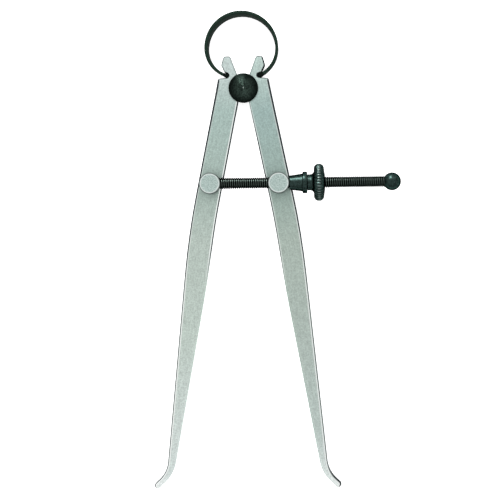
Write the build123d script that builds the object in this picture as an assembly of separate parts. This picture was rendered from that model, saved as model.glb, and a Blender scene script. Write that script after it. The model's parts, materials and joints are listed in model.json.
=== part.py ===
from build123d import *
from math import cos, radians, sin, tan
import os

# Inside caliper with a bow spring, lying on its back. X runs right along the adjusting screw,
# Y runs up towards the bow and Z towards the front. The fulcrum axis is X = Y = 0, and Z = 0 is
# the plane that the back washers lie on. Lengths are in mm and angles in degrees.

# Clearances
running_gap = 0.05
axial_gap = 0.05
thread_gap = 0.02
spring_gap = 0.15
sleeve_gap = 0.1

# Legs: flat bars ground on both faces, in a frame with the leg's upper part along -Y
leg_thickness = 4.0
leg_width = 9.05
leg_offset = 0.95
leg_angle = 11.5
edge_chamfer = 0.3

# Inner edge of a leg: straight to the set, turned in to the waist, nearly straight to the ankle
inner_set_drop = 50.0
inner_set_turn = 2.7
inner_set_radius = 300.0
waist_drop = 78.0
waist_turn = 0.96
waist_radius = 400.0

# Outer edge of a leg: straight to the set, then one long taper to the ankle
outer_set_drop = 58.0
outer_set_radius = 300.0
ankle_drop = 147.5
ankle_width = 2.6

# Feet: bent outward, with full round tips
foot_angle = 35.0
foot_length = 7.7
foot_width = 2.3
foot_outer_radius = 11.0
foot_inner_radius = 13.0
tip_radius = 0.9

# Horns above the fulcrum, and the notches that hold the ends of the spring
horn_offset = 0.4
horn_lean = 31.7
horn_length = 12.95
horn_top_width = 2.45
horn_top_slope = 11.5
horn_inner_radius = 0.7
horn_outer_radius = 1.0
bulge_relief = 0.15
bulge_height = 6.85
bulge_radius = 1.5
flank_slope = 53.0
lip_radius = 0.4
notch_distance = 8.06
notch_angle = 64.0
notch_roof_slope = 8.0
shoulder_slope = 18.0
shoulder_radius = 0.8

# Fulcrum stud with a domed head, and the washer that its end is riveted into
core_radius = 3.0
head_radius = 5.55
head_rim = 0.8
head_dome = 1.0
fulcrum_rivet_radius = 1.8
fulcrum_washer_radius = 5.2
washer_thickness = 1.4
washer_chamfer = 0.3

# Bow spring: a flat strip bent into a C, widest at its crown, with upset toes
bow_radius = 13.2
bow_rise = 14.9
bow_shift = -0.5
bow_thickness = 1.15
bow_crown_width = 6.8
bow_end_width = 4.6
toe_radius = 0.78

# Swivel posts, which stand on the legs and carry the adjusting screw
post_drop = 37.6
post_radius = 3.95
post_height = 6.05
post_bevel_width = 0.5
post_bevel_depth = 0.2
shank_radius = 2.25
post_rivet_radius = 1.6
post_washer_radius = 3.6
screw_height = 3.05
blind_wall = 1.2

# Adjusting screw, and the ball on its free end
screw_radius = 2.08
ball_distance = 68.0
ball_radius = 3.35
ball_bore_depth = 4.0

# Thrust sleeve of the nut: a cone and a bead
nose_radius = 2.6
cone_length = 4.9
cone_radius = 3.35
bead_length = 1.75
bead_radius = 4.05
bead_edge_radius = 0.35

# Knurled nut: a neck and a wheel with a crowned rim
neck_length = 2.45
neck_radius = 2.98
neck_fillet = 1.4
wheel_width = 3.8
wheel_radius = 6.95
wheel_edge_radius = 1.8
wheel_edge_facets = 3
wheel_bulge = 0.35
wheel_face_radius = 3.0
knurl_count = 40
knurl_depth = 0.3
knurl_crest = 0.12

# Levels, and places in the leg's own frame
leg_back = washer_thickness + axial_gap
leg_front = leg_back + leg_thickness
leg_middle = (leg_back + leg_front) / 2
cheek_level = leg_front + axial_gap
screw_level = leg_front + screw_height
leg_outer = leg_offset + leg_width
bow_crown = bow_rise + bow_radius + bow_thickness / 2
post_spot = Vector(leg_offset + leg_width / 2, -post_drop)
toe_spot = notch_distance * Vector(sin(radians(notch_angle)), cos(radians(notch_angle)))

# The same places on the right half of the whole caliper
post_place = post_spot.rotate(Axis.Z, leg_angle)
toe_place = toe_spot.rotate(Axis.Z, leg_angle)

# Places along the screw, from the middle of the caliper
nose_start = post_place.X + post_radius + sleeve_gap
bead_start = nose_start + cone_length
neck_start = bead_start + bead_length
wheel_start = neck_start + neck_length
wheel_end = wheel_start + wheel_width
ball_place = ball_distance - post_place.X
screw_start = -post_place.X - post_radius + blind_wall
screw_end = ball_place - ball_radius + ball_bore_depth


def heading(angle):
    """Unit vector that is turned from +Y towards +X by an angle."""
    return Vector(sin(radians(angle)), cos(radians(angle)))


def disc(radius, low, high, place=Vector(0, 0)):
    """Upright cylinder between two levels."""
    return Pos(place.X, place.Y, low) * Cylinder(
        radius, high - low, align=(Align.CENTER, Align.CENTER, Align.MIN)
    )


def turned_upright(profile, place=Vector(0, 0)):
    """Solid turned about an upright axis from a closed profile of radius and height."""
    return Pos(place.X, place.Y, 0) * revolve(Plane.XZ * make_face(profile), axis=Axis.Z)


def turned_on_screw(profile):
    """Solid turned about the screw's axis from a closed profile of place and radius."""
    return Pos(0, post_place.Y, screw_level) * revolve(make_face(profile), axis=Axis.X)


def rod(radius, start, end):
    """Cylinder on the screw's axis between two places."""
    return turned_on_screw(Polyline((start, 0), (end, 0), (end, radius), (start, radius), close=True))


def rounded(corners):
    """Closed outline from pairs of a corner and the radius that it is rounded with."""
    points = [point for point, radius in corners]
    radii = [radius for point, radius in corners]
    return FilletPolyline(*points, radius=radii, close=True)


def leg_outline():
    """Closed outline of the right leg in its own frame, from the crotch at the fulcrum down."""
    horn_foot = heading(horn_lean + 90) * horn_offset
    horn_up = heading(horn_lean)
    crotch = horn_foot + horn_up * ((leg_offset - horn_foot.X) / horn_up.X)
    horn_inner = horn_foot + horn_up * horn_length
    horn_outer = horn_inner + heading(90 + horn_top_slope) * horn_top_width

    notch_radius = toe_radius + spring_gap
    half_notch = (notch_roof_slope + shoulder_slope) / 2
    notch_middle = heading(90 - notch_roof_slope + half_notch)
    notch = toe_spot - notch_middle * (notch_radius / sin(radians(half_notch)))
    bulge = Vector(leg_outer - bulge_relief, bulge_height)
    roof_rise, flank_rise = tan(radians(notch_roof_slope)), tan(radians(flank_slope))
    lip_x = (bulge.Y - notch.Y + notch.X * roof_rise - bulge.X * flank_rise) / (roof_rise - flank_rise)
    lip = Vector(lip_x, notch.Y + (lip_x - notch.X) * roof_rise)
    shoulder = Vector(leg_outer, notch.Y - (leg_outer - notch.X) * tan(radians(shoulder_slope)))

    waist_x = leg_offset - (waist_drop - inner_set_drop) * tan(radians(inner_set_turn))
    ankle_inner_x = waist_x - (ankle_drop - waist_drop) * tan(radians(waist_turn))
    ankle_outer_x = ankle_inner_x + ankle_width
    ankle = Vector((ankle_inner_x + ankle_outer_x) / 2, -ankle_drop)
    foot_end = ankle + heading(180 - foot_angle) * foot_length
    half_foot = heading(90 - foot_angle) * (foot_width / 2)

    corners = [
        (crotch, 0),
        (Vector(leg_offset, -inner_set_drop), inner_set_radius),
        (Vector(waist_x, -waist_drop), waist_radius),
        (Vector(ankle_inner_x, -ankle_drop), foot_inner_radius),
        (foot_end - half_foot, tip_radius),
        (foot_end + half_foot, tip_radius),
        (Vector(ankle_outer_x, -ankle_drop), foot_outer_radius),
        (Vector(leg_outer, -outer_set_drop), outer_set_radius),
        (shoulder, shoulder_radius),
        (notch, notch_radius),
        (lip, lip_radius),
        (bulge, bulge_radius),
        (horn_outer, horn_outer_radius),
        (horn_inner, horn_inner_radius),
    ]
    return rounded(corners)


def make_right_leg():
    """Leg blank with chamfered faces, the round seat for the fulcrum and the hole for the post."""
    bar = Pos(0, 0, leg_back) * extrude(make_face(leg_outline()), leg_thickness)
    levels = bar.edges().filter_by(Plane.XY).group_by(Axis.Z)
    bar = chamfer(levels[0] + levels[-1], edge_chamfer)
    bar -= disc(core_radius + running_gap, leg_back, leg_front)
    bar -= disc(shank_radius + running_gap, leg_back, leg_front, post_spot)
    return Rot(0, 0, leg_angle) * bar


def make_fulcrum_stud():
    """Riveted end, core that the legs turn on, and domed head, turned in one."""
    rim_top = cheek_level + head_rim
    crown = rim_top + head_dome
    side = Polyline(
        (0, crown),
        (0, 0),
        (fulcrum_rivet_radius, 0),
        (fulcrum_rivet_radius, washer_thickness),
        (core_radius, washer_thickness),
        (core_radius, cheek_level),
        (head_radius, cheek_level),
        (head_radius, rim_top),
    )
    dome = TangentArc((0, crown), (head_radius, rim_top), tangent=(1, 0))
    return turned_upright(side + dome)


def make_washer(radius, bore, place):
    """Back washer with its rear edge chamfered."""
    body = disc(radius, 0, washer_thickness, place)
    body = chamfer(body.edges().group_by(Axis.Z)[0], washer_chamfer)
    return body - disc(bore + thread_gap, 0, washer_thickness, place)


def make_post(place):
    """Swivel post: riveted end, shank through the leg, and the round body in front of it."""
    top = leg_front + post_height
    side = Polyline(
        (0, 0),
        (post_rivet_radius, 0),
        (post_rivet_radius, washer_thickness),
        (shank_radius, washer_thickness),
        (shank_radius, cheek_level),
        (post_radius, cheek_level),
        (post_radius, top - post_bevel_depth),
        (post_radius - post_bevel_width, top),
        (0, top),
        close=True,
    )
    return turned_upright(side, place)


def make_bow():
    """C-shaped strip from toe to toe, cut to a width that grows towards its crown."""
    middle = Vector(bow_shift, bow_rise)
    left = middle - Vector(bow_radius, 0)
    right = middle + Vector(bow_radius, 0)
    left_toe = Vector(-toe_place.X, toe_place.Y)
    strip_line = (
        TangentArc(left, left_toe, tangent=(0, -1))
        + ThreePointArc(left, middle + Vector(0, bow_radius), right)
        + TangentArc(right, toe_place, tangent=(0, -1))
    )
    strip = make_face(offset(strip_line, bow_thickness / 2, side=Side.BOTH))
    toes = Pos(left_toe) * Circle(toe_radius) + Pos(toe_place) * Circle(toe_radius)
    band = extrude(strip + toes, bow_crown_width)
    band = Pos(0, 0, leg_middle - bow_crown_width / 2) * band
    sides = Plane.YZ * make_face(
        Polyline(
            (toe_place.Y, leg_middle - bow_end_width / 2),
            (bow_crown, leg_middle - bow_crown_width / 2),
            (bow_crown, leg_middle + bow_crown_width / 2),
            (toe_place.Y, leg_middle + bow_end_width / 2),
            close=True,
        )
    )
    return band & extrude(sides, 2 * bow_radius, both=True)


def make_ball():
    """Ball bored from its inner side for the screw."""
    ball = Pos(ball_place, post_place.Y, screw_level) * Sphere(ball_radius)
    return ball - rod(screw_radius + thread_gap, ball_place - ball_radius, screw_end)


def make_sleeve():
    """Cone that bears on the right post, with a bead at its outer end."""
    bore = screw_radius + sleeve_gap
    bead_low = bead_radius - bead_edge_radius
    side = Polyline(
        (bead_start, bead_low),
        (bead_start, cone_radius),
        (nose_start, nose_radius),
        (nose_start, bore),
        (neck_start, bore),
        (neck_start, bead_low),
    )
    left_top = (bead_start + bead_edge_radius, bead_radius)
    right_top = (neck_start - bead_edge_radius, bead_radius)
    crown = (
        TangentArc((bead_start, bead_low), left_top, tangent=(0, 1))
        + Line(left_top, right_top)
        + TangentArc((neck_start, bead_low), right_top, tangent=(0, 1))
    )
    return turned_on_screw(side + crown)


def make_nut():
    """Neck and wheel, bored to the screw, with straight V grooves between the ridges of its rim."""
    bore = screw_radius + running_gap
    corners = [
        ((wheel_end + wheel_bulge, bore), 0),
        ((neck_start, bore), 0),
        ((neck_start, neck_radius), 0),
        ((wheel_start, neck_radius), neck_fillet),
    ]
    left_middle = Vector(wheel_start + wheel_edge_radius, wheel_radius - wheel_edge_radius)
    right_middle = Vector(wheel_end - wheel_edge_radius, wheel_radius - wheel_edge_radius)
    turns = [90 * i / wheel_edge_facets for i in range(wheel_edge_facets + 1)]
    corners += [(left_middle + heading(turn - 90) * wheel_edge_radius, 0) for turn in turns]
    corners += [(right_middle + heading(turn) * wheel_edge_radius, 0) for turn in turns]
    corners += [((wheel_end + wheel_bulge, wheel_face_radius), 0)]
    nut = turned_on_screw(rounded(corners))
    star = []
    for ridge in range(knurl_count):
        star.append(heading(360 * ridge / knurl_count) * (wheel_radius + knurl_crest))
        star.append(heading(360 * (ridge + 0.5) / knurl_count) * (wheel_radius - knurl_depth))
    knurl = extrude(Plane.YZ * make_face(Polyline(*star, close=True)), wheel_end + wheel_bulge)
    return nut & Pos(0, post_place.Y, screw_level) * knurl


left_place = Vector(-post_place.X, post_place.Y)
blind_bore = rod(screw_radius + thread_gap, screw_start, 0)
through_bore = rod(screw_radius + running_gap, 0, nose_start)
right_leg = make_right_leg()
parts = {
    "left_leg": mirror(right_leg, Plane.YZ),
    "right_leg": right_leg,
    "fulcrum_stud": make_fulcrum_stud(),
    "fulcrum_washer": make_washer(fulcrum_washer_radius, fulcrum_rivet_radius, Vector(0, 0)),
    "bow_spring": make_bow(),
    "left_post": make_post(left_place) - blind_bore,
    "left_post_washer": make_washer(post_washer_radius, post_rivet_radius, left_place),
    "right_post": make_post(post_place) - through_bore,
    "right_post_washer": make_washer(post_washer_radius, post_rivet_radius, post_place),
    "adjusting_screw": rod(screw_radius, screw_start, screw_end),
    "ball_end": make_ball(),
    "nut_sleeve": make_sleeve(),
    "knurled_nut": make_nut(),
}

os.makedirs("parts", exist_ok=True)
for name, shape in parts.items():
    export_step(shape, f"parts/{name}.step")
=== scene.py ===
import bmesh
import bpy
import json
import numpy as np
from math import asin, atan2, cos, pi, radians, sin, sqrt, tan
from mathutils import Matrix, Vector
from mathutils.geometry import delaunay_2d_cdt

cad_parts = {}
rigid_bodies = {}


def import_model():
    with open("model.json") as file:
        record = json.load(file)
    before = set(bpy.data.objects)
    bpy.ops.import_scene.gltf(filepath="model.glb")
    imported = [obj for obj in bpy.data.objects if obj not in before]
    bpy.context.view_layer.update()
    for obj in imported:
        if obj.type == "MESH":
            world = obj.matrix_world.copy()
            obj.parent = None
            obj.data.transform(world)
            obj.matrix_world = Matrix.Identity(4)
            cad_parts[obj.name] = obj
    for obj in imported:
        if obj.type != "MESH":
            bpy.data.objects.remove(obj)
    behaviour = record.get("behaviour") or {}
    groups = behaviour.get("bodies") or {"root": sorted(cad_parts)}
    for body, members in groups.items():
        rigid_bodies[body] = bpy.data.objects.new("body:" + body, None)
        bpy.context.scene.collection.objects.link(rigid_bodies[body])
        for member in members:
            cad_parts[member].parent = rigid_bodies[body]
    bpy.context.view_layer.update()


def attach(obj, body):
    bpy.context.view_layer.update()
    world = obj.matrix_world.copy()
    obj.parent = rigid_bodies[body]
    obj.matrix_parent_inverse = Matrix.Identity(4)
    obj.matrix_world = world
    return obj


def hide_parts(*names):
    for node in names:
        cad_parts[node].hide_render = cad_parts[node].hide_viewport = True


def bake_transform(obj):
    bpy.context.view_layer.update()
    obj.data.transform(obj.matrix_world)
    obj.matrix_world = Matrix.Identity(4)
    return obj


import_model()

# Sizes are in millimetres and angles in degrees, and each surface is turned to metres when its
# mesh is made. X runs along the adjusting screw, Y towards the bow and Z towards the front.
MM = 0.001


# Shapes worked out as arrays of points


def heading(angle):
    """Unit vector turned from +Y towards +X by an angle."""
    return np.array([sin(radians(angle)), cos(radians(angle))])


def turned_by(points, angle):
    """Points turned about Z, counterclockwise seen from the front."""
    c, s = cos(radians(angle)), sin(radians(angle))
    return np.asarray(points) @ np.array([[c, s], [-s, c]])


def fade(value, none, full):
    """Share of the way from none to full, held at 0 and 1 beyond them; full may be the smaller."""
    return np.clip((value - none) / (full - none), 0, 1)


def crossing(p, d, q, e):
    """Where the line through p along d meets the line through q along e."""
    a = ((q[0] - p[0]) * e[1] - (q[1] - p[1]) * e[0]) / (d[0] * e[1] - d[1] * e[0])
    return p + a * d


def between(start, end, steps):
    """Evenly spaced points on a straight run, without its ends."""
    share = np.linspace(0, 1, steps + 2)[1:-1, None]
    return start + (end - start) * share


def fillet(before, corner, after, radius, steps):
    """Arc that is tangent to both runs at a corner: its middle lies on the corner's bisector at
    radius / sin(half of the corner), and the points are even steps of angle about it."""
    a = (before - corner) / np.linalg.norm(before - corner)
    b = (after - corner) / np.linalg.norm(after - corner)
    half = 0.5 * np.arccos(np.clip(a @ b, -1, 1))
    middle = corner + (a + b) / np.linalg.norm(a + b) * radius / sin(half)
    first = corner + a * radius / tan(half) - middle
    last = corner + b * radius / tan(half) - middle
    start = atan2(first[1], first[0])
    sweep = (atan2(last[1], last[0]) - start + pi) % (2 * pi) - pi
    turn = start + sweep * np.linspace(0, 1, steps)
    return middle + radius * np.stack([np.cos(turn), np.sin(turn)], 1)


def soft_profile(corners, steps):
    """Open profile through pairs of a corner and its radius; a radius of 0 keeps it sharp."""
    points = [np.array(point, float) for point, radius in corners]
    pieces = [points[0][None]]
    for i in range(1, len(corners) - 1):
        if corners[i][1]:
            pieces.append(fillet(points[i - 1], points[i], points[i + 1], corners[i][1], steps))
        else:
            pieces.append(points[i][None])
    pieces.append(points[-1][None])
    return np.concatenate(pieces)


def soft_ring(corners, steps):
    """Closed profile through pairs of a corner and its radius, the first of them sharp."""
    return soft_profile(corners + corners[:1], steps)[:-1]


def refined(profile, longest):
    """The same profile with its long runs divided into steps no longer than a given length."""
    runs = np.linalg.norm(np.diff(profile, axis=0), axis=1)
    pieces = [profile[:1]]
    for start, end, run in zip(profile[:-1], profile[1:], runs):
        share = np.linspace(0, 1, int(np.ceil(run / longest)) + 1)[1:, None]
        pieces.append(start + (end - start) * share)
    return np.concatenate(pieces)


# Points nearer to each other than the first are merged and shorter edges than the second removed,
# both in metres
same_point, no_edge = 2e-7, 1e-8


def new_piece(name, points, faces, sharp=35.0):
    """Object from points in mm and faces, with doubles merged and faces turned outward. Edges
    that bend by more than sharp stay crisp."""
    mesh = bpy.data.meshes.new(name)
    mesh.from_pydata((np.asarray(points).reshape(-1, 3) * MM).tolist(), [], faces)
    work = bmesh.new()
    work.from_mesh(mesh)
    bmesh.ops.remove_doubles(work, verts=work.verts, dist=same_point)
    bmesh.ops.dissolve_degenerate(work, edges=work.edges, dist=no_edge)
    bmesh.ops.recalc_face_normals(work, faces=work.faces)
    work.to_mesh(mesh)
    work.free()
    mesh.shade_smooth()
    mesh.set_sharp_from_angle(angle=radians(sharp))
    piece = bpy.data.objects.new(name, mesh)
    bpy.context.scene.collection.objects.link(piece)
    return piece


def grid_faces(rows, columns, close_rows=False, close_columns=True):
    """Quads of a grid of points, row by row; a closed side joins its last line to its first."""
    i = np.arange(rows if close_rows else rows - 1)[:, None]
    j = np.arange(columns if close_columns else columns - 1)[None]
    i2, j2 = (i + 1) % rows, (j + 1) % columns
    corners = (i * columns + j, i * columns + j2, i2 * columns + j2, i2 * columns + j)
    return np.stack(np.broadcast_arrays(*corners), -1).reshape(-1, 4).tolist()


def turned(profile, columns, upright=None, swell=None):
    """Surface of revolution: each point of the profile is a place along the axis and a radius,
    and x, y = radius times cosine and sine of the turn. The axis is the screw's, or an upright one
    at a place. swell adds to the radius as a function of radius and turn."""
    place, radius = np.asarray(profile, float).T[:, :, None]
    turn = 2 * pi * np.arange(columns) / columns
    if swell is not None:
        radius = radius + swell(radius, turn)
    across, up = radius * np.cos(turn), radius * np.sin(turn)
    along = place + 0 * turn
    if upright is None:
        return np.stack([along, post_y + across, screw_level + up], -1)
    return np.stack([upright[0] + across, upright[1] + up, along], -1)


def turned_piece(name, profile, columns=96, upright=None, swell=None, ring=False, sharp=35.0):
    """Piece turned from a profile that starts and ends on the axis, or from a closed ring."""
    points = turned(profile, columns, upright, swell)
    return new_piece(name, points, grid_faces(len(points), columns, close_rows=ring), sharp)


# Marks that a material reads


def places(piece):
    """Points of a piece in mm."""
    co = np.empty(len(piece.data.vertices) * 3)
    piece.data.vertices.foreach_get("co", co)
    return co.reshape(-1, 3) / MM


def mark(piece, name, value):
    """Writes a number for each point of a piece."""
    attribute = piece.data.attributes.new(name, "FLOAT", "POINT")
    attribute.data.foreach_set("value", np.asarray(value, np.float32))


# Sizes that several pieces share, and the places that follow from them

running_gap, axial_gap, thread_gap, sleeve_gap, rivet_gap = 0.05, 0.05, 0.02, 0.1, 0.02
leg_thickness, leg_width, leg_offset, leg_angle = 4.0, 9.05, 0.95, 11.5
washer_thickness, washer_chamfer = 1.4, 0.3
core_radius, post_drop, post_radius, shank_radius = 3.0, 37.6, 3.95, 2.25
post_height, screw_height, screw_radius = 6.05, 3.05, 2.08

leg_back = washer_thickness + axial_gap
leg_front = leg_back + leg_thickness
leg_middle = (leg_back + leg_front) / 2
leg_outer = leg_offset + leg_width
cheek_level = leg_front + axial_gap
screw_level = leg_front + screw_height
post_top = leg_front + post_height
post_middle = leg_offset + leg_width / 2

# Middle of the post's hole and of the spring's toe on the right, turned by the leg's angle
post_x, post_y = 12.861, -35.754
toe_x, toe_y = 6.394, 4.907


# Legs

inner_set_drop, inner_set_turn, inner_set_radius = 50.0, 2.7, 300.0
waist_drop, waist_turn, waist_radius = 78.0, 0.96, 400.0
outer_set_drop, outer_set_radius = 58.0, 300.0
ankle_drop, ankle_width = 147.5, 2.6
foot_angle, foot_length, foot_width = 35.0, 7.7, 2.3
foot_outer_radius, foot_inner_radius, tip_radius = 11.0, 13.0, 0.9
horn_offset, horn_lean, horn_length = 0.4, 31.7, 12.95
horn_top_width, horn_top_slope, horn_inner_radius, horn_outer_radius = 2.45, 11.5, 0.7, 1.0
bulge_relief, bulge_height, bulge_radius, flank_slope, lip_radius = 0.15, 6.85, 1.5, 53.0, 0.4
notch_distance, notch_angle, notch_roof_slope, notch_radius = 8.06, 64.0, 8.0, 0.93
shoulder_slope, shoulder_radius = 18.0, 0.8
edge_width, edge_depth = 0.9, 0.5
face_inset = edge_width + 0.1
seat_radius = core_radius + running_gap
post_hole_radius = shank_radius + running_gap
toe_spot = notch_distance * heading(notch_angle)

# Points on each straight run of a leg's outline, one about every 3 mm of its long runs, and on
# the seat's arc, on a bend of more than gentle_radius, on any other and round the post's hole
run_steps = [14, 8, 22, 1, 1, 1, 29, 17, 1, 1, 1, 1, 1, 3]
seat_steps, gentle_steps, bend_steps, hole_steps = 24, 5, 12, 40
gentle_radius, least_radius = 100.0, 0.03


def leg_corners():
    """Corners of the right leg with their radii, in its own frame, counterclockwise from the
    horn's foot: down the inner edge, round the foot, up the outer edge and round the horn."""
    horn_foot = heading(horn_lean + 90) * horn_offset
    horn_inner = horn_foot + heading(horn_lean) * horn_length
    horn_outer = horn_inner + heading(90 + horn_top_slope) * horn_top_width
    half_notch = (notch_roof_slope + shoulder_slope) / 2
    notch_middle = heading(90 - notch_roof_slope + half_notch)
    notch = toe_spot - notch_middle * notch_radius / sin(radians(half_notch))
    bulge = np.array([leg_outer - bulge_relief, bulge_height])
    lip = crossing(notch, heading(90 - notch_roof_slope), bulge, heading(90 - flank_slope))
    shoulder = np.array([leg_outer, notch[1] - (leg_outer - notch[0]) * tan(radians(shoulder_slope))])
    waist_x = leg_offset - (waist_drop - inner_set_drop) * tan(radians(inner_set_turn))
    ankle_x = waist_x - (ankle_drop - waist_drop) * tan(radians(waist_turn))
    ankle = np.array([ankle_x + ankle_width / 2, -ankle_drop])
    foot_end = ankle + heading(180 - foot_angle) * foot_length
    half_foot = heading(90 - foot_angle) * foot_width / 2
    return [
        ((leg_offset, -inner_set_drop), inner_set_radius),
        ((waist_x, -waist_drop), waist_radius),
        ((ankle_x, -ankle_drop), foot_inner_radius),
        (foot_end - half_foot, tip_radius),
        (foot_end + half_foot, tip_radius),
        ((ankle_x + ankle_width, -ankle_drop), foot_outer_radius),
        ((leg_outer, -outer_set_drop), outer_set_radius),
        (shoulder, shoulder_radius),
        (notch, notch_radius),
        (lip, lip_radius),
        (bulge, bulge_radius),
        (horn_outer, horn_outer_radius),
        (horn_inner, horn_inner_radius),
    ]


def leg_ring(inset):
    """Closed ring of points at a constant distance inside the leg's outline. Every run moves
    inward by the inset, the corners are where the moved runs meet, an outer corner's radius
    shrinks by the inset and an inner one's grows by it. Every ring has the same number of
    points, so rings at several insets join point to point."""
    corners = leg_corners()
    points = np.array([point for point, radius in corners])
    radii = np.array([radius for point, radius in corners])
    horn_foot = heading(horn_lean + 90) * horn_offset
    chain = np.concatenate([[[leg_offset, 0]], points, [horn_foot]])
    along = np.diff(chain, axis=0)
    along /= np.linalg.norm(along, axis=1)[:, None]
    inward = np.stack([-along[:, 1], along[:, 0]], 1)
    starts = chain[:-1] + inward * inset
    moved = [crossing(starts[i], along[i], starts[i + 1], along[i + 1]) for i in range(len(points))]
    turn = along[:-1, 0] * along[1:, 1] - along[:-1, 1] * along[1:, 0]
    radii = np.maximum(radii - np.sign(turn) * inset, least_radius)

    # The seat's arc grows with the inset, and both runs next to it start where they leave it
    arc = seat_radius + inset
    low = np.array([leg_offset + inset, -sqrt(arc**2 - (leg_offset + inset) ** 2)])
    back = -along[-1]
    reach = starts[-1] - (starts[-1] @ back) * back
    high = reach + back * sqrt(arc**2 - reach @ reach)
    sweep = np.linspace(atan2(high[1], high[0]), atan2(low[1], low[0]), seat_steps)
    pieces = [arc * np.stack([np.cos(sweep), np.sin(sweep)], 1)]
    path = [low] + moved + [high]
    for i in range(1, len(path) - 1):
        steps = gentle_steps if radii[i - 1] > gentle_radius else bend_steps
        bend = fillet(path[i - 1], path[i], path[i + 1], radii[i - 1], steps)
        pieces.append(between(pieces[-1][-1], bend[0], run_steps[i - 1]))
        pieces.append(bend)
    pieces.append(between(pieces[-1][-1], path[-1], run_steps[-1]))
    return np.concatenate(pieces)


def make_leg(name, side):
    """Leg: rings of the outline at the insets and levels of a flat face, a softly rounded edge
    (quarter of an ellipse), the square side wall, and the same again at the back. The faces
    are filled between their innermost ring and the post's hole, which goes right through."""
    quarter = np.radians([0, 8, 16, 22, 28, 34, 40, 48, 58, 68, 79, 90])
    round_inset = edge_width * (1 - np.sin(quarter))
    round_level = edge_depth * (1 - np.cos(quarter))
    inset = np.concatenate([[face_inset], round_inset])
    level = np.concatenate([[leg_front], leg_front - round_level])
    back_level = np.concatenate([[leg_back], leg_back + round_level])
    insets = np.concatenate([inset, inset[::-1]])
    levels = np.concatenate([level, back_level[::-1]])
    rings = np.array([leg_ring(i) for i in insets])
    count = rings.shape[1]
    heights = np.broadcast_to(levels[:, None, None], (len(levels), count, 1))
    shell = np.concatenate([rings, heights], -1)
    faces = grid_faces(len(levels), count)

    # Hole for the post's shank
    middle = np.array([post_middle, -post_drop])
    turn = 2 * pi * np.arange(hole_steps) / hole_steps
    hole = middle + post_hole_radius * np.stack([np.cos(turn), np.sin(turn)], 1)
    points = [shell.reshape(-1, 3)]
    start = len(points[0])
    for z in (leg_front, leg_back):
        points.append(np.column_stack([hole, np.full(hole_steps, z)]))
    faces += (np.array(grid_faces(2, hole_steps)) + start).tolist()

    # Front and back face, each without the triangles that lie in the hole
    for layer, offset in ((0, 0), (len(levels) - 1, hole_steps)):
        flat = [Vector(p) for p in np.concatenate([rings[layer], hole])]
        loop = [(i, (i + 1) % count) for i in range(count)]
        loop += [(count + i, count + (i + 1) % hole_steps) for i in range(hole_steps)]
        fill = delaunay_2d_cdt(flat, loop, [], 2, 1e-7)
        source = [inputs[0] for inputs in fill[3]]
        place = {i: layer * count + i for i in range(count)}
        place.update({count + i: start + offset + i for i in range(hole_steps)})
        spots = np.array(fill[0]) - middle
        for face in fill[2]:
            if np.linalg.norm(spots[face].mean(axis=0)) > post_hole_radius:
                faces.append([place[source[corner]] for corner in face])
    points = np.concatenate(points)
    points[:, :2] = turned_by(points[:, :2], leg_angle)
    points[:, 0] *= side
    return new_piece(name, points, faces)


# How far in mm the painted edge shade reaches in over edges that face right and left, at some drops
# below the fulcrum, and over the horns' tips; -1 is the left leg and 1 the right one
shade_drops = (-6, 0, 20, 50, 80, 145, 150)
shade_right = {-1: (0.0, 0.46, 0.42, 0.34, 0.3, 0.3, 0.1), 1: (0.6, 0.84, 0.74, 0.6, 0.5, 0.5, 0.76)}
shade_left = {-1: (0.0, 0.86, 0.7, 0.56, 0.5, 0.48, 0.46), 1: (0.0, 0.0, 0.46, 0.42, 0.3, 0.3, 0.1)}
# The painted edge shade's softness and fading, the painted highlight's width and gain, and the fainter
# painted shade that reaches further in
tip_shade, shade_relief, shade_softness, shade_loss = 0.46, 0.06, 0.06, 0.2
glint_width, glint_gain = 0.46, 1.8
thin_shade_width, thin_shade_fade, thin_shade_strength, thin_shade_loss = 0.66, 0.5, 0.42, 0.85
tip_thin_shade_width, tip_thin_shade_strength, top_thin_shade_strength = 0.14, 0.3, 0.2


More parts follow.
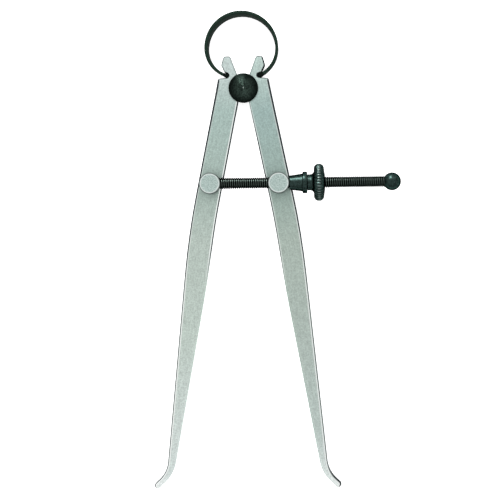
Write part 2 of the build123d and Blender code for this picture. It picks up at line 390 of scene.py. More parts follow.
def mark_edges(leg, side):
    """Writes how much shade and how much highlight (edge_glint) are painted on a leg's edges, from
    how far in from the outline a point lies, which its depth gives on the rounded edge. The painted
    shade is 1 out from a border, which lies further in on the outer edges than on the inner ones.
    The painted highlight is a hump just inside the border, stronger on edges that face right, and
    there is none above the fulcrum. A fainter painted shade reaches further in, most on the horns'
    tops, and leaves the notch bright where it doesn't face up. Below the waist that fainter shade
    is weaker still, and the painted shade and highlight keep off the inner edge."""
    co = places(leg)
    normal = np.empty(len(co) * 3)
    leg.data.vertices.foreach_get("normal", normal)
    flat = normal.reshape(-1, 3)[:, :2]
    flat = flat / np.maximum(np.linalg.norm(flat, axis=1), 1e-3)[:, None]
    right, left, up = (np.clip(way, 0, 1) for way in (flat[:, 0], -flat[:, 0], flat[:, 1]))
    own_x, own_y = turned_by(co[:, :2] * [side, 1], -leg_angle).T
    outward = turned_by(flat * [side, 1], -leg_angle)[:, 0]
    depth = np.clip((leg_thickness / 2 - np.abs(co[:, 2] - leg_middle)) / edge_depth, 0, 1)
    round_inset = edge_width * (1 - np.sqrt(1 - (1 - depth) ** 2))
    inset = np.where(depth < 1e-4, face_inset, round_inset)

    tip = up * fade(own_y, 10, 11.5)
    high = fade(own_y, 0, 2)
    low = fade(-own_y, 62, 76)
    border = np.interp(-own_y, shade_drops, shade_right[side]) * right
    border += np.interp(-own_y, shade_drops, shade_left[side]) * left
    border += tip_shade * tip * up - shade_relief
    keep = 1 - fade(-outward, 0, 1 / 6) * low
    strength = 1 - shade_loss * low * fade(own_y, -150, -146)
    painted_shade = fade(border - inset, -shade_softness, shade_softness) * keep * strength

    hump = 1 - np.abs(inset - border - glint_width / 2) / (glint_width / 2)
    glint = np.clip(glint_gain * hump, 0, 1) * keep
    glint *= (0.5 + 0.5 * right) * (1 - low) + low
    glint *= 1 - high

    near_toe = fade(np.hypot(own_x - toe_spot[0], own_y - toe_spot[1]), 2.4, 1.2)
    thin_shade = thin_shade_strength + top_thin_shade_strength * up * high + tip_thin_shade_strength * tip
    thin_shade *= fade(inset, thin_shade_width + tip_thin_shade_width * tip, thin_shade_width + tip_thin_shade_width * tip - thin_shade_fade)
    thin_shade *= (1 - glint) * (1 - thin_shade_loss * low * (1 - painted_shade)) * (1 - near_toe * (1 - up))
    mark(leg, "edge_painted_shade", np.maximum(painted_shade, thin_shade))
    mark(leg, "edge_glint", glint)


# Screw and ball

pitch, thread_depth = 0.79375, 0.3
crest_flat, root_flat, crest_line = 0.4, 0.2, 0.06
blind_wall, ball_distance, ball_radius, ball_bore_depth = 1.2, 68.0, 3.35, 4.0
blind_bore = screw_radius + thread_gap
screw_start = -post_x - post_radius + blind_wall
ball_x = ball_distance - post_x
screw_end = ball_x - ball_radius + ball_bore_depth


def make_screw():
    """Thread: every row of the grid winds along the rod by one pitch for each turn, so each keeps
    its place on the thread's section. Its flanks rise at 62 degrees, and it is 2/5 of the pitch
    flat at the crest, 1/5 flat at the root and 0.3 mm deep. A new thread of this pitch is 0.49 mm
    deep; the crests are drawn fuller, since at two pixels a turn a deep thread looks thinner than
    the rod is. Past both ends the radius shrinks to nothing over a pitch, inside the left post and
    the ball. crest is 1 along the middle of the crest where it faces front or back, a line painted
    paler, partly as wear and partly as a painted highlight."""
    section = np.array([0, 0.06, 0.12, 0.2, 0.4, 0.5, 0.6, 0.8, 0.88, 0.94])
    depth = fade(np.abs(2 * section - 1), 1 - crest_flat, root_flat) * thread_depth
    lead_in = 2
    winds = int((screw_end - screw_start) / pitch) + 2 * lead_in + 1
    start = (np.arange(winds)[:, None] + section - lead_in).reshape(-1, 1) * pitch + screw_start
    turn = np.linspace(0, 2 * pi, 49)[None]
    place = start + pitch * turn / (2 * pi)
    past = np.maximum(screw_start - place, place - screw_end)
    radius = (screw_radius - np.tile(depth, winds)[:, None]) * fade(past, pitch, 0)
    place = np.clip(place, screw_start, screw_end)
    points = np.stack([place, post_y + radius * np.cos(turn), screw_level + radius * np.sin(turn)], -1)
    screw = new_piece("screw_thread", points, grid_faces(*place.shape, close_columns=False), 80.0)

    x, y, z = places(screw).T
    away = np.maximum(np.hypot(y - post_y, z - screw_level), 1e-6)
    wound = (x - screw_start) / pitch - np.arctan2(z - screw_level, y - post_y) / (2 * pi)
    off_crest = np.abs(wound - np.round(wound))
    # Where the crest faces front or back it is painted paler: partly wear, partly painted highlight
    facing = (np.abs(z - screw_level) / away) ** 2.5
    mark(screw, "crest", fade(off_crest, 2 * crest_line, crest_line) * facing)
    return screw


def make_ball():
    """Ball on the screw's end: a half circle of place and radius, from the mouth of the bore
    round to the axis, and the bore's wall and flat bottom just past the screw's end."""
    bore_end = screw_end + 0.01
    turn = np.linspace(asin(blind_bore / ball_radius), pi, 40)
    shell = np.stack([ball_x - ball_radius * np.cos(turn), ball_radius * np.sin(turn)], 1)
    shell[-1, 1] = 0
    inside = [[bore_end, 0], [bore_end, blind_bore], [shell[0, 0] + 0.1, blind_bore]]
    return turned_piece("ball_knob", np.concatenate([inside, shell]), 80, sharp=50.0)


# Sleeve and nut

cone_length, bead_length, neck_length, wheel_width = 4.9, 1.75, 2.45, 3.8
nose_radius, cone_radius, bead_radius, bead_edge_radius = 2.6, 3.35, 4.05, 0.35
neck_radius, neck_fillet, wheel_radius, wheel_edge_radius = 2.98, 1.4, 6.95, 1.8
wheel_bulge, wheel_face_radius = 0.35, 3.0
knurl_count, knurl_depth, knurl_columns = 40, 0.3, 8
sleeve_bore = screw_radius + sleeve_gap
nut_bore = screw_radius + running_gap
nose_start = post_x + post_radius + sleeve_gap
bead_start = nose_start + cone_length
neck_start = bead_start + bead_length
wheel_start = neck_start + neck_length
wheel_end = wheel_start + wheel_width
nut_end = wheel_end + wheel_bulge


def make_sleeve():
    """Thrust sleeve: a cone with softened ends, a sharp step and a bead with round edges."""
    profile = [
        ((neck_start, sleeve_bore + 0.6), 0),
        ((neck_start, bead_radius), bead_edge_radius),
        ((bead_start, bead_radius), bead_edge_radius),
        ((bead_start, cone_radius), 0.2),
        ((nose_start, nose_radius), 0.2),
        ((nose_start, sleeve_bore), 0.1),
        ((neck_start, sleeve_bore), 0),
    ]
    return turned_piece("thrust_sleeve", soft_ring(profile, 5), ring=True)


def knurl(radius, turn):
    """Straight ridges: radius drops by the knurl's depth times how far the turn is from the
    nearest ridge, fading to nothing where the rim turns down to the wheel's faces."""
    rim = fade(radius, wheel_radius - 1.5, wheel_radius - 0.3)
    return -knurl_depth * rim * np.abs(2 * ((turn * knurl_count / (2 * pi)) % 1.0) - 1)


def make_nut():
    """Nut: neck, fillet and a wheel whose rim is a round-edged band with straight ridges. crest
    goes from 0 to 1 as a point comes up to the ridges' tops."""
    profile = [
        ((nut_end, nut_bore + 0.5), 0),
        ((nut_end, wheel_face_radius), 0.3),
        ((wheel_end, wheel_radius - wheel_edge_radius), 0.4),
        ((wheel_end, wheel_radius), wheel_edge_radius - 0.05),
        ((wheel_start, wheel_radius), wheel_edge_radius),
        ((wheel_start, neck_radius), neck_fillet),
        ((neck_start, neck_radius), 0.2),
        ((neck_start, nut_bore), 0.1),
        ((nut_end, nut_bore), 0.1),
    ]
    body = refined(soft_ring(profile, 9), 0.45)
    columns = knurl_count * knurl_columns
    nut = turned_piece("nut_body", body, columns, swell=knurl, ring=True, sharp=60.0)
    y, z = places(nut).T[1:]
    away = np.hypot(y - post_y, z - screw_level)
    mark(nut, "crest", fade(away, wheel_radius - 0.1, wheel_radius - 0.01))
    return nut


# Head, posts and washers

head_radius, head_rim, head_dome, head_edge = 5.55, 0.8, 1.0, 0.35
ring_height, ring_spacing, pip_height, pip_width = 0.02, 0.6, 0.07, 0.25
fulcrum_rivet_radius, post_rivet_radius = 1.8, 1.6
fulcrum_washer_radius, post_washer_radius = 5.2, 3.6
post_bevel_width, post_bevel_depth = 0.5, 0.2


def make_head():
    """Fulcrum stud: the domed head is an arc whose radius is (rim radius squared + dome height
    squared) / twice the dome height, with a small pip at its centre. The turning rings that the
    tool left are about 0.1 mm apart, too fine to show, and are drawn as a wave every 0.6 mm.
    crest is 1 on the pip, where a pale highlight is painted, and dim, a painted shade, rises towards the
    rim."""
    top = cheek_level + head_rim + head_dome
    dome_radius = (head_radius**2 + head_dome**2) / (2 * head_dome)
    r = np.linspace(0, head_radius - head_edge, 150)
    z = top - dome_radius + np.sqrt(dome_radius**2 - r**2)
    z += ring_height * np.cos(2 * pi * r / ring_spacing) * fade(r, 0, 0.4)
    z += pip_height * np.exp(-((r / pip_width) ** 2))
    rim = [
        ((z[-1], r[-1]), 0),
        ((cheek_level + head_rim, head_radius), 0.3),
        ((cheek_level, head_radius), 0.1),
        ((cheek_level, core_radius), 0),
        ((washer_thickness, core_radius), 0),
        ((washer_thickness, fulcrum_rivet_radius), 0),
        ((0, fulcrum_rivet_radius), 0.15),
        ((0, 0), 0),
    ]
    profile = np.concatenate([np.stack([z, r], 1)[:-1], soft_profile(rim, 6)])
    head = turned_piece("fulcrum_head", profile, 128, upright=(0, 0), sharp=40.0)
    x, y, z = places(head).T
    away = np.hypot(x, y)
    # Painted highlight on the pip, and painted shade towards the rim
    mark(head, "crest", fade(away, 0.24, 0.08) * (z > cheek_level))
    mark(head, "dim", np.minimum(fade(away, 0.45 * head_radius, 0.95 * head_radius), 0.85))
    return head


def bored(piece, start, end, radius):
    """The piece with a round hole along the screw's axis between two places cut out of it."""
    tool = turned_piece("bore", [(start, 0), (start, radius), (end, radius), (end, 0)], 64)
    cut = piece.modifiers.new("bore", "BOOLEAN")
    cut.operation, cut.solver, cut.object = "DIFFERENCE", "EXACT", tool
    done = bpy.data.meshes.new_from_object(piece.evaluated_get(bpy.context.evaluated_depsgraph_get()))
    piece.modifiers.clear()
    piece.data = done
    piece.data.set_sharp_from_angle(angle=radians(40))
    bpy.data.objects.remove(tool)
    return piece


def make_post(name, x, bore_start, bore_end, bore):
    """Swivel post: a shank and a body with a bevelled, softened rim, and a hole for the screw.
    The two rings of points on the top face keep the painted highlight on the bevel from spreading
    to its middle. edge_glint paints a highlight along the bevel; the edge shade mark paints a dark
    outline round the rim and shade down the sides, which is thickest on the side towards the bow."""
    profile = [
        ((post_top, 0), 0),
        ((post_top, post_radius - 0.9), 0),
        ((post_top, post_radius - 0.7), 0),
        ((post_top, post_radius - post_bevel_width), 0.25),
        ((post_top - post_bevel_depth, post_radius), 0.12),
        ((cheek_level, post_radius), 0.15),
        ((cheek_level, shank_radius), 0),
        ((washer_thickness, shank_radius), 0),
        ((washer_thickness, post_rivet_radius), 0),
        ((0, post_rivet_radius), 0.15),
        ((0, 0), 0),
    ]
    body = turned_piece(name, soft_profile(profile, 6), upright=(x, post_y))
    post = bored(body, bore_start, bore_end, bore)
    at_x, at_y, at_z = places(post).T
    inward = post_radius - np.hypot(at_x - x, at_y - post_y)
    bevel = 0.8 * fade(np.abs(inward - post_bevel_width), 0.224, 0.064)
    thin_shade = (0.2 + 0.7 * fade(at_y, post_y, post_y + post_radius)) * fade(post_top - at_z, 0.004, 0.034)
    outline = 0.9 * fade(inward, 0.3, 0.2) * (at_z > cheek_level)
    mark(post, "edge_glint", bevel)
    mark(post, "edge_painted_shade", np.maximum(thin_shade, outline))
    return post


def make_washer(name, radius, bore, x, y):
    """Back washer: a flat ring with a chamfered rear edge."""
    profile = [
        ((0, (radius + bore) / 2), 0),
        ((0, radius - washer_chamfer), 0.1),
        ((washer_chamfer, radius), 0.1),
        ((washer_thickness, radius), 0.1),
        ((washer_thickness, bore), 0),
        ((0, bore), 0),
    ]
    return turned_piece(name, soft_ring(profile, 4), 72, upright=(x, y), ring=True, sharp=40.0)


# Bow spring

bow_radius, bow_rise, bow_shift = 13.2, 14.9, -0.5
bow_thickness, bow_crown_width, bow_end_width, bow_edge = 1.15, 6.8, 4.6, 0.22
toe_thickness, toe_reach, toe_edge, toe_length, toe_taper = 1.48, 0.88, 0.33, 1.45, 0.35
bow_cone, bow_twist_x, bow_twist_y = 2.9, -2.6, 2.0
bow_steps = 281


def bow_path():
    """Middle line of the strip from the left toe to the right one, in even steps: an arc from
    each toe that turns upright at the level of the bow's middle, and a half circle between."""

    def side_arc(toe, reach):
        dx, dy = toe - (bow_shift + reach), toe_y - bow_rise
        radius = (dx * dx + dy * dy) / (2 * dx)
        middle = np.array([bow_shift + reach + radius, bow_rise])
        end = atan2(toe_y - middle[1], toe - middle[0])
        start = pi if reach < 0 else 0.0
        sweep = (end - start + pi) % (2 * pi) - pi
        turn = start + sweep * np.linspace(0, 1, 400)
        return middle + abs(radius) * np.stack([np.cos(turn), np.sin(turn)], 1)

    left, right = side_arc(-toe_x, -bow_radius), side_arc(toe_x, bow_radius)
    turn = np.linspace(pi, 0, 1600)[1:-1]
    crown = [bow_shift, bow_rise] + bow_radius * np.stack([np.cos(turn), np.sin(turn)], 1)
    line = np.concatenate([left[::-1], crown, right])
    length = np.concatenate([[0], np.cumsum(np.linalg.norm(np.diff(line, axis=0), axis=1))])
    even = np.linspace(0, length[-1], bow_steps)
    return np.stack([np.interp(even, length, line[:, k]) for k in (0, 1)], 1), even


def make_bow():
    """Strip carried along its middle line: a rounded rectangle whose width grows with the height
    above the toes. Its front edge leans outward by the cone angle plus a slow twist, the x and y
    of the outward direction times two small angles. Each end is upset to a thicker toe over its
    last 1.45 mm, which fades over the next 0.35 mm, and the end is rounded off by a quarter
    circle. crest is 1 on the toes."""
    line, length = bow_path()
    ahead = np.gradient(line, axis=0)
    ahead /= np.linalg.norm(ahead, axis=1)[:, None]
    outward = np.stack([-ahead[:, 1], ahead[:, 0]], 1)

    # Rows past both ends of the line, where the toe's end rounds off
    turn = np.radians([0, 30, 60, 80, 90])
    extra = len(turn)
    beyond = toe_reach - toe_edge + toe_edge * np.sin(turn)
    trim = toe_edge * (1 - np.cos(turn))
    before, after = line[0] - ahead[0] * beyond[::-1, None], line[-1] + ahead[-1] * beyond[:, None]
    line = np.concatenate([before, line, after])
    outward = np.concatenate([outward[:1].repeat(extra, 0), outward, outward[-1:].repeat(extra, 0)])
    length = np.concatenate([-beyond[::-1], length, length[-1] + beyond])
    trim = np.concatenate([trim[::-1], np.zeros(bow_steps), trim])

    height = fade(line[:, 1], toe_y, bow_rise + bow_radius)
    width = bow_end_width + (bow_crown_width - bow_end_width) * height - 2 * trim
    from_end = np.minimum(length - length[0], length[-1] - length)
    swell = fade(from_end, toe_length + toe_taper, toe_length)
    swell = swell * swell * (3 - 2 * swell)
    thickness = bow_thickness + (toe_thickness - bow_thickness) * swell - 2 * trim

    # Section: four rounded corners, each with its side of the middle line
    corner = np.radians(np.linspace(0, 90, 5))
    outline = []
    for k, (sx, sy) in enumerate(((1, 1), (-1, 1), (-1, -1), (1, -1))):
        turn = corner + k * pi / 2
        outline.append(np.stack([np.cos(turn) - sx, np.sin(turn) - sy, np.full(5, sx), np.full(5, sy)], 1))
    outline = np.concatenate(outline)
    out = bow_edge * outline[:, 0] + outline[:, 2] * thickness[:, None] / 2
    up = bow_edge * outline[:, 1] + outline[:, 3] * width[:, None] / 2
    lean = bow_cone + outward @ np.array([bow_twist_x, bow_twist_y])
    out = out + up * np.tan(np.radians(lean))[:, None]
    place = line[:, None] + outward[:, None] * out[..., None]
    points = np.concatenate([place, (leg_middle + up)[..., None]], -1)

    rows, columns = points.shape[:2]
    faces = grid_faces(rows, columns)
    faces += [list(range(columns))[::-1], list(range((rows - 1) * columns, rows * columns))]
    bow = new_piece("bow_strip", points, faces, 45.0)
    x, y = places(bow).T[:2]
    mark(bow, "crest", fade(np.hypot(np.abs(x) - toe_x, y - toe_y), 1.5, 1.1))
    return bow


# Materials


def paint(code):
    """Linear colour from an sRGB hex code: ((c + 0.055) / 1.055) to the power 2.4."""
    c = np.array([int(code[i : i + 2], 16) for i in (1, 3, 5)]) / 255
    linear = np.where(c <= 0.04045, c / 12.92, ((c + 0.055) / 1.055) ** 2.4)
    return (*linear.tolist(), 1.0)


def feed(tree, node, sockets):
    """Gives each named socket of a node a value, or feeds it by another node's output."""
    for name, value in sockets.items():
        if isinstance(value, bpy.types.NodeSocket):
            tree.links.new(value, node.inputs[name])
        else:
            node.inputs[name].default_value = value


def add(tree, kind, sockets=None, **settings):
    """Adds a node with its settings, and feeds its sockets."""
    made = tree.nodes.new(kind)
    for name, value in settings.items():
        setattr(made, name, value)
    feed(tree, made, sockets or {})
    return made


def marked(tree, name):
    """What mark wrote on the piece under a name, and 0 where it wrote nothing."""
    return add(tree, "ShaderNodeAttribute", attribute_name=name).outputs["Fac"]


def noise(tree, place, scale, detail, roughness):
    """Noise whose lumps are about 1 / scale across, in metres."""
    sockets = {"Vector": place, "Scale": scale, "Detail": detail, "Roughness": roughness}
    return add(tree, "ShaderNodeTexNoise", sockets).outputs["Fac"]


def spread(tree, value, low, high, to_low=0.0, to_high=1.0):
    """The range from low to high stretched to another one, and held at its ends."""
    sockets = {"Value": value, "From Min": low, "From Max": high, "To Min": to_low, "To Max": to_high}
    return add(tree, "ShaderNodeMapRange", sockets).outputs[0]


def blend_value(tree, share, first, second):
    """Goes from the first value to the second as share goes from 0 to 1."""
    return add(tree, "ShaderNodeMix", {0: share, 2: first, 3: second}, data_type="FLOAT").outputs[0]


def blend_colour(tree, share, first, second):
    """Goes from the first colour to the second as share goes from 0 to 1."""
    return add(tree, "ShaderNodeMix", {0: share, 6: first, 7: second}, data_type="RGBA").outputs[2]


def graded(tree, value, stops):
    """Colour that runs through pairs of a place and a colour as value goes from 0 to 1."""
    made = add(tree, "ShaderNodeValToRGB", {"Fac": value})
    elements = made.color_ramp.elements
    while len(elements) < len(stops):
        elements.new(0.5)
    for element, (where, colour) in zip(elements, stops):
        element.position = where
        element.color = colour
    return made.outputs["Color"]


def bump(tree, height, strength, distance):
    """Small dents and lumps from a height, this deep in metres."""
    sockets = {"Height": height, "Strength": strength, "Distance": distance}
    return add(tree, "ShaderNodeBump", sockets).outputs[0]


def new_finish(name):
    """Empty material with its shader and output, and the object's coordinates."""
    material = bpy.data.materials.new(name)
    material.use_nodes = True
    tree = material.node_tree
    tree.nodes.clear()
    shader = add(tree, "ShaderNodeBsdfPrincipled")
    add(tree, "ShaderNodeOutputMaterial", {"Surface": shader.outputs["BSDF"]})
    place = add(tree, "ShaderNodeTexCoord").outputs["Object"]
    return material, tree, shader, place


# Roughness where shade is painted on the steel's edges, and how far along a leg in mm its tones run
shaded_edge_roughness = 0.62
tone_low, tone_high = -155.0, 15.0


def ground_steel(name, lie, tones):
    """Tool steel, surface ground and satin finished on its faces: a sandy mottle with faint
    lines along the leg, paler at the horn and the foot. A dark shade is painted along the edges,
    with a painted highlight line just inside it."""
    material, tree, shader, place = new_finish(name)
    turned_straight = {"Vector": place, "Rotation": (0, 0, radians(lie))}
    straight = add(tree, "ShaderNodeMapping", turned_straight).outputs[0]
    axes = add(tree, "ShaderNodeSeparateXYZ", {0: straight})
    along = spread(tree, axes.outputs["Y"], tone_low * MM, tone_high * MM)
    stops = [((-drop - tone_low) / (tone_high - tone_low), paint(code)) for drop, code in tones]
    tone = graded(tree, along, stops)
    # Grinding lines are about 0.05 mm apart, too fine to show, so they are drawn 0.4 mm apart
    drawn_out = add(tree, "ShaderNodeMapping", {"Vector": straight, "Scale": (2500, 260, 700)})
    lines = noise(tree, drawn_out.outputs[0], 1.0, 3.0, 0.6)
    # The satin's grit marks are about 0.1 mm across and are drawn 0.5 mm across for the same reason
    mottle = noise(tree, place, 1900.0, 3.0, 0.7)
    both = blend_value(tree, 0.7, lines, mottle)
    grain = spread(tree, both, 0.3, 0.7, 0.72, 1.28)
    steel = add(tree, "ShaderNodeVectorMath", {0: tone, 1: grain}, operation="MULTIPLY").outputs[0]
    # Painted light on the edges: a near-white highlight, and a dark shade that also dims the reflection's
    # tint
    glint, painted_shade = marked(tree, "edge_glint"), marked(tree, "edge_painted_shade")
    highlit = blend_colour(tree, glint, steel, paint("#F4F8F6"))
    satin = spread(tree, both, 0.3, 0.7, 0.36, 0.46)
    polished = blend_value(tree, glint, satin, 0.24)
    finish = {
        "Base Color": blend_colour(tree, painted_shade, highlit, paint("#3C4244")),
        "Specular Tint": blend_colour(tree, painted_shade, (1, 1, 1, 1), paint("#303634")),
        "Roughness": blend_value(tree, painted_shade, polished, shaded_edge_roughness),
        "Normal": bump(tree, both, 0.3, 0.00003),
        "Metallic": 1.0,
    }
    feed(tree, shader, finish)
    return material


def turned_steel():
    """Mild steel turned bright on the posts and washers: a paler grey than the legs with a fine
    frosted mottle, a painted highlight on the bevel, and shade painted down the sides and round the rim."""
    material, tree, shader, place = new_finish("turned_steel")
    # The frosting is about 0.1 mm across, too fine to show, and is drawn 0.5 mm across
    mottle = noise(tree, place, 2000.0, 3.0, 0.7)
    grain = spread(tree, mottle, 0.32, 0.68)
    steel = blend_colour(tree, grain, paint("#92A9A3"), paint("#D6E6E1"))
    # Painted light: a near-white highlight on the bevel, and a dark shade on the rim and sides
    glint, painted_shade = marked(tree, "edge_glint"), marked(tree, "edge_painted_shade")
    bevel = blend_colour(tree, glint, steel, paint("#F2F8F6"))
    turned_rough = spread(tree, grain, 0.0, 1.0, 0.3, 0.42)
    finish = {
        "Base Color": blend_colour(tree, painted_shade, bevel, paint("#343A38")),
        "Roughness": blend_value(tree, painted_shade, turned_rough, shaded_edge_roughness),
        "Normal": bump(tree, mottle, 0.2, 0.00002),
        "Metallic": 1.0,
    }
    feed(tree, shader, finish)
    return material


def black_oxide(name, dark, pale, rough, wear_and_highlight="#8E9C98", spun=0.0):
    """Steel with a hot black oxide: a nearly black, slightly green metal with a soft oily
    sheen, whose roughness and shade wander a little over each piece. On crests the colour goes
    greyer: on the knurl the oxide is thinned by wear, and on the thread's crests and the head's pip
    that grey is partly wear and partly a painted highlight. Where dim rises, towards the head's
    rim, a near-black shade is painted. spun is how much the sheen fans out across rings that
    were turned about the upright axis."""
    material, tree, shader, place = new_finish(name)
    cloud = noise(tree, place, 1700.0, 4.0, 0.6)
    shade = spread(tree, cloud, 0.3, 0.7)
    oxide = blend_colour(tree, shade, paint(dark), paint(pale))
    # Paler crests: wear, and on the thread and the head's pip also a painted highlight
    rubbed_and_highlit = blend_colour(tree, marked(tree, "crest"), oxide, paint(wear_and_highlight))
    finish = {
        # Painted shade: where dim rises, towards the head's rim, the colour goes nearly black
        "Base Color": blend_colour(tree, marked(tree, "dim"), rubbed_and_highlit, paint("#080C0B")),
        "Roughness": spread(tree, shade, 0.0, 1.0, rough, rough + 0.08),
        "Normal": bump(tree, cloud, 0.15, 0.00003),
        "Metallic": 1.0,
        "Specular Tint": paint("#2C3431"),
    }
    if spun:
        rings = add(tree, "ShaderNodeTangent", direction_type="RADIAL", axis="Z")
        finish["Tangent"] = rings.outputs[0]
        finish["Anisotropic"] = spun
        finish["Anisotropic Rotation"] = 0.25
    feed(tree, shader, finish)
    return material


def tempered_strip():
    """Spring steel hardened and tempered in the strip: a rough, dark green-grey scale that hardly
    shines and looks the same from every side, with faint cloudy patches about 2.4 mm across, and
    darker on the toes."""
    material, tree, shader, place = new_finish("tempered_spring")
    cloud = noise(tree, place, 420.0, 4.0, 0.6)
    shade = spread(tree, cloud, 0.3, 0.7)
    scale = blend_colour(tree, shade, paint("#17251E"), paint("#1F2E27"))
    finish = {
        "Base Color": blend_colour(tree, marked(tree, "crest"), scale, paint("#0B100E")),
        "Normal": bump(tree, cloud, 0.15, 0.00003),
        "Roughness": 0.6,
        "Specular IOR Level": 0.01,
    }
    feed(tree, shader, finish)
    return material


# Tones of the legs' faces at some drops in mm below the fulcrum
tone_drops = (153, 147, 132, 95, 60, 42, 10, -5)
left_codes = ("#EEF4F2", "#D2DCD9", "#D3DDD9", "#C4D1C9", "#BECBC3", "#B0C1B9", "#B0C5BF", "#CAD7D4")
right_codes = ("#ECF2F0", "#DAE3E0", "#BECBC6", "#B4C1BA", "#B1BFB6", "#A2B5AD", "#A5BCB8", "#C2D5CF")

bright_left = ground_steel("ground_steel_left", leg_angle, list(zip(tone_drops, left_codes)))
bright_right = ground_steel("ground_steel_right", -leg_angle, list(zip(tone_drops, right_codes)))
bright = turned_steel()
# The head's pale pip and the thread's pale crests are partly painted highlight
black = black_oxide("black_oxide_turned", "#17211E", "#374845", 0.24)
black_head = black_oxide("black_oxide_head", "#0E1412", "#3A4942", 0.34, wear_and_highlight="#B4C0BC", spun=0.8)
black_thread = black_oxide("black_oxide_thread", "#030605", "#080D0B", 0.24, wear_and_highlight="#5E6B65")
tempered = tempered_strip()


# The caliper


def finish_piece(piece, body, material, slot, *nodes):
    """Gives a piece its material and the body that it rides on, and hides the solids it stands for."""
    piece.data.materials.clear()
    piece.data.materials.append(material)
    if body:
        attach(piece, body)
    if nodes:
        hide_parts(*nodes)
    return piece


def share_the_bend(bow):
    """Reads where the strip's points lie in x and y, in mm, and does nothing more with them."""
    x, y = places(bow).T[:2]


for side, name, material in ((-1, "left_leg", bright_left), (1, "right_leg", bright_right)):
    leg = make_leg(name + "_ground", side)
    mark_edges(leg, side)
    finish_piece(leg, name, material, "ground_steel", name)

finish_piece(make_head(), "fulcrum", black_head, "black_steel", "fulcrum_stud")
fulcrum_bore = fulcrum_rivet_radius + rivet_gap
washer = make_washer("fulcrum_back_washer", fulcrum_washer_radius, fulcrum_bore, 0, 0)
finish_piece(washer, "fulcrum", black, "black_steel", "fulcrum_washer")

post = make_post("left_swivel", -post_x, screw_start, 0, blind_bore)
finish_piece(post, "screw", bright, "turned_steel", "left_post")
post = make_post("right_swivel", post_x, 0, nose_start + 1, screw_radius + running_gap)
finish_piece(post, "right_post", bright, "turned_steel", "right_post")
post_bore = post_rivet_radius + rivet_gap
for side, end, body in ((-1, "left", "screw"), (1, "right", "right_post")):
    washer = make_washer(end + "_back_washer", post_washer_radius, post_bore, side * post_x, post_y)
    finish_piece(washer, body, bright, "turned_steel", end + "_post_washer")

finish_piece(make_screw(), "screw", black_thread, "black_steel", "adjusting_screw")
finish_piece(make_ball(), "screw", black, "black_steel", "ball_end")
finish_piece(make_sleeve(), "nut", black, "black_steel", "nut_sleeve")
finish_piece(make_nut(), "nut", black, "black_steel", "knurled_nut")

bow = finish_piece(make_bow(), None, tempered, "spring_steel", "bow_spring")
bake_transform(bow)
share_the_bend(bow)


# Studio, in metres


def make_floor():
    """Pale floor at the level that the caliper lies on. Seen straight or in a reflection it is
    lifted to white, and it keeps the shadow."""
    mesh = bpy.data.meshes.new("floor")
    mesh.from_pydata([(-3, -3, 0), (3, -3, 0), (3, 3, 0), (-3, 3, 0)], [], [(0, 1, 2, 3)])
    floor = bpy.data.objects.new("floor", mesh)
    bpy.context.scene.collection.objects.link(floor)
    material = bpy.data.materials.new("white_card")
    material.use_nodes = True
    tree = material.node_tree
    tree.nodes.clear()
    card = add(tree, "ShaderNodeBsdfDiffuse", {"Color": paint("#E6E6E6")})
    ray = add(tree, "ShaderNodeLightPath").outputs
    straight = {0: ray["Is Camera Ray"], 1: ray["Is Glossy Ray"]}
    seen = add(tree, "ShaderNodeMath", straight, operation="MAXIMUM")
    through = {0: seen.outputs[0], 1: ray["Is Transmission Ray"]}
    seen = add(tree, "ShaderNodeMath", through, operation="MAXIMUM")
    lift = add(tree, "ShaderNodeMath", {0: seen.outputs[0], 1: 0.74}, operation="MULTIPLY")
    glow = add(tree, "ShaderNodeEmission", {"Color": (1, 1, 1, 1), "Strength": lift.outputs[0]})
    both = add(tree, "ShaderNodeAddShader", {0: card.outputs[0], 1: glow.outputs[0]})
    add(tree, "ShaderNodeOutputMaterial", {"Surface": both.outputs[0]})
    mesh.materials.append(material)


def greys(*stops):
    """Pairs of a place and a grey, for graded, from pairs of a place and a level."""
    return [(where, (level, level, level, 1)) for where, level in stops]


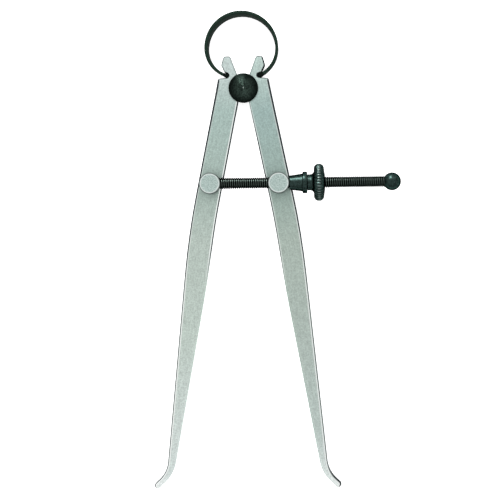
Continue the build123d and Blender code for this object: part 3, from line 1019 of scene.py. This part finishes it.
def make_sky():
    """Room: a level by height times a level by depth. By height it is 0.71 straight above, 1.15
    about 30 degrees off it, 1.0 at 60 degrees and 0.5 or less from 76. By depth it is 1.5 or
    more far beyond the bow and 0.8 far beyond the feet. The camera sees it as plain white."""
    world = bpy.data.worlds.new("studio")
    bpy.context.scene.world = world
    world.use_nodes = True
    tree = world.node_tree
    tree.nodes.clear()
    place = add(tree, "ShaderNodeTexCoord").outputs["Generated"]
    axes = add(tree, "ShaderNodeSeparateXYZ", {0: place}).outputs
    by_height = greys((0.0, 0.45), (0.25, 0.5), (0.5, 1.0), (0.85, 1.15), (0.95, 0.86), (1.0, 0.71))
    by_depth = greys((0.0, 0.8), (0.3, 1.0), (0.42, 1.12), (0.55, 0.95), (0.68, 1.0), (0.8, 1.5), (1.0, 1.6))
    ceiling = graded(tree, axes["Z"], by_height)
    walls = graded(tree, spread(tree, axes["Y"], -1.0, 1.0), by_depth)
    room = add(tree, "ShaderNodeMath", {0: ceiling, 1: walls}, operation="MULTIPLY").outputs[0]
    ray = add(tree, "ShaderNodeLightPath").outputs
    level = blend_value(tree, ray["Is Camera Ray"], room, 1.0)
    sky = add(tree, "ShaderNodeBackground", {"Color": (1, 1, 1, 1), "Strength": level})
    add(tree, "ShaderNodeOutputWorld", {"Surface": sky.outputs[0]})


def make_lamp(name, place, aim, size, power):
    """Square soft box at a place, facing a point. It is flagged off the bright steel, which would
    mirror it as one white glare when the caliper is seen from the feet."""
    lamp = bpy.data.lights.new(name, "AREA")
    lamp.shape = "SQUARE"
    lamp.size = size
    lamp.energy = power
    box = bpy.data.objects.new(name, lamp)
    bpy.context.scene.collection.objects.link(box)
    box.location = place
    box.rotation_euler = (Vector(aim) - Vector(place)).to_track_quat("-Z", "Y").to_euler()
    lit = bpy.data.collections.new(name + "_lights")
    for piece in bpy.context.scene.objects:
        if piece.type == "MESH" and not {bright, bright_left, bright_right} & set(piece.data.materials):
            lit.objects.link(piece)
    box.light_linking.receiver_collection = lit


def make_camera():
    """Camera of the photograph, 674 mm from the point that it looks at. It stands 1.66 degrees to
    the right of straight in front and 0.54 towards the bow, and is rolled by -0.67 degrees."""
    yaw, tilt, roll = radians(1.658), radians(-0.538), radians(-0.665)
    aim, distance = Vector((0.001773, -0.060794, 0.005)), 0.67416
    focal_pixels, picture_pixels, sensor = 1793.8, 500, 36.0
    back = Vector((sin(yaw) * cos(tilt), -sin(tilt), cos(yaw) * cos(tilt)))
    right = Vector((0, 1, 0)).cross(back).normalized()
    up = back.cross(right)
    side = right * cos(roll) + up * sin(roll)
    top = up * cos(roll) - right * sin(roll)
    lens = bpy.data.cameras.new("camera")
    lens.sensor_width = sensor
    lens.lens = sensor * focal_pixels / picture_pixels
    lens.clip_start, lens.clip_end = 0.01, 20.0
    camera = bpy.data.objects.new("camera", lens)
    bpy.context.scene.collection.objects.link(camera)
    turn = Matrix((side, top, back)).transposed().to_4x4()
    camera.matrix_world = Matrix.Translation(aim + back * distance) @ turn
    bpy.context.scene.camera = camera


make_floor()
make_sky()
make_lamp("soft_box", (-0.2, 0.66, 0.46), (0, -0.04, 0), 0.34, 7.5)
make_camera()
bpy.context.scene.view_settings.view_transform = "Standard"
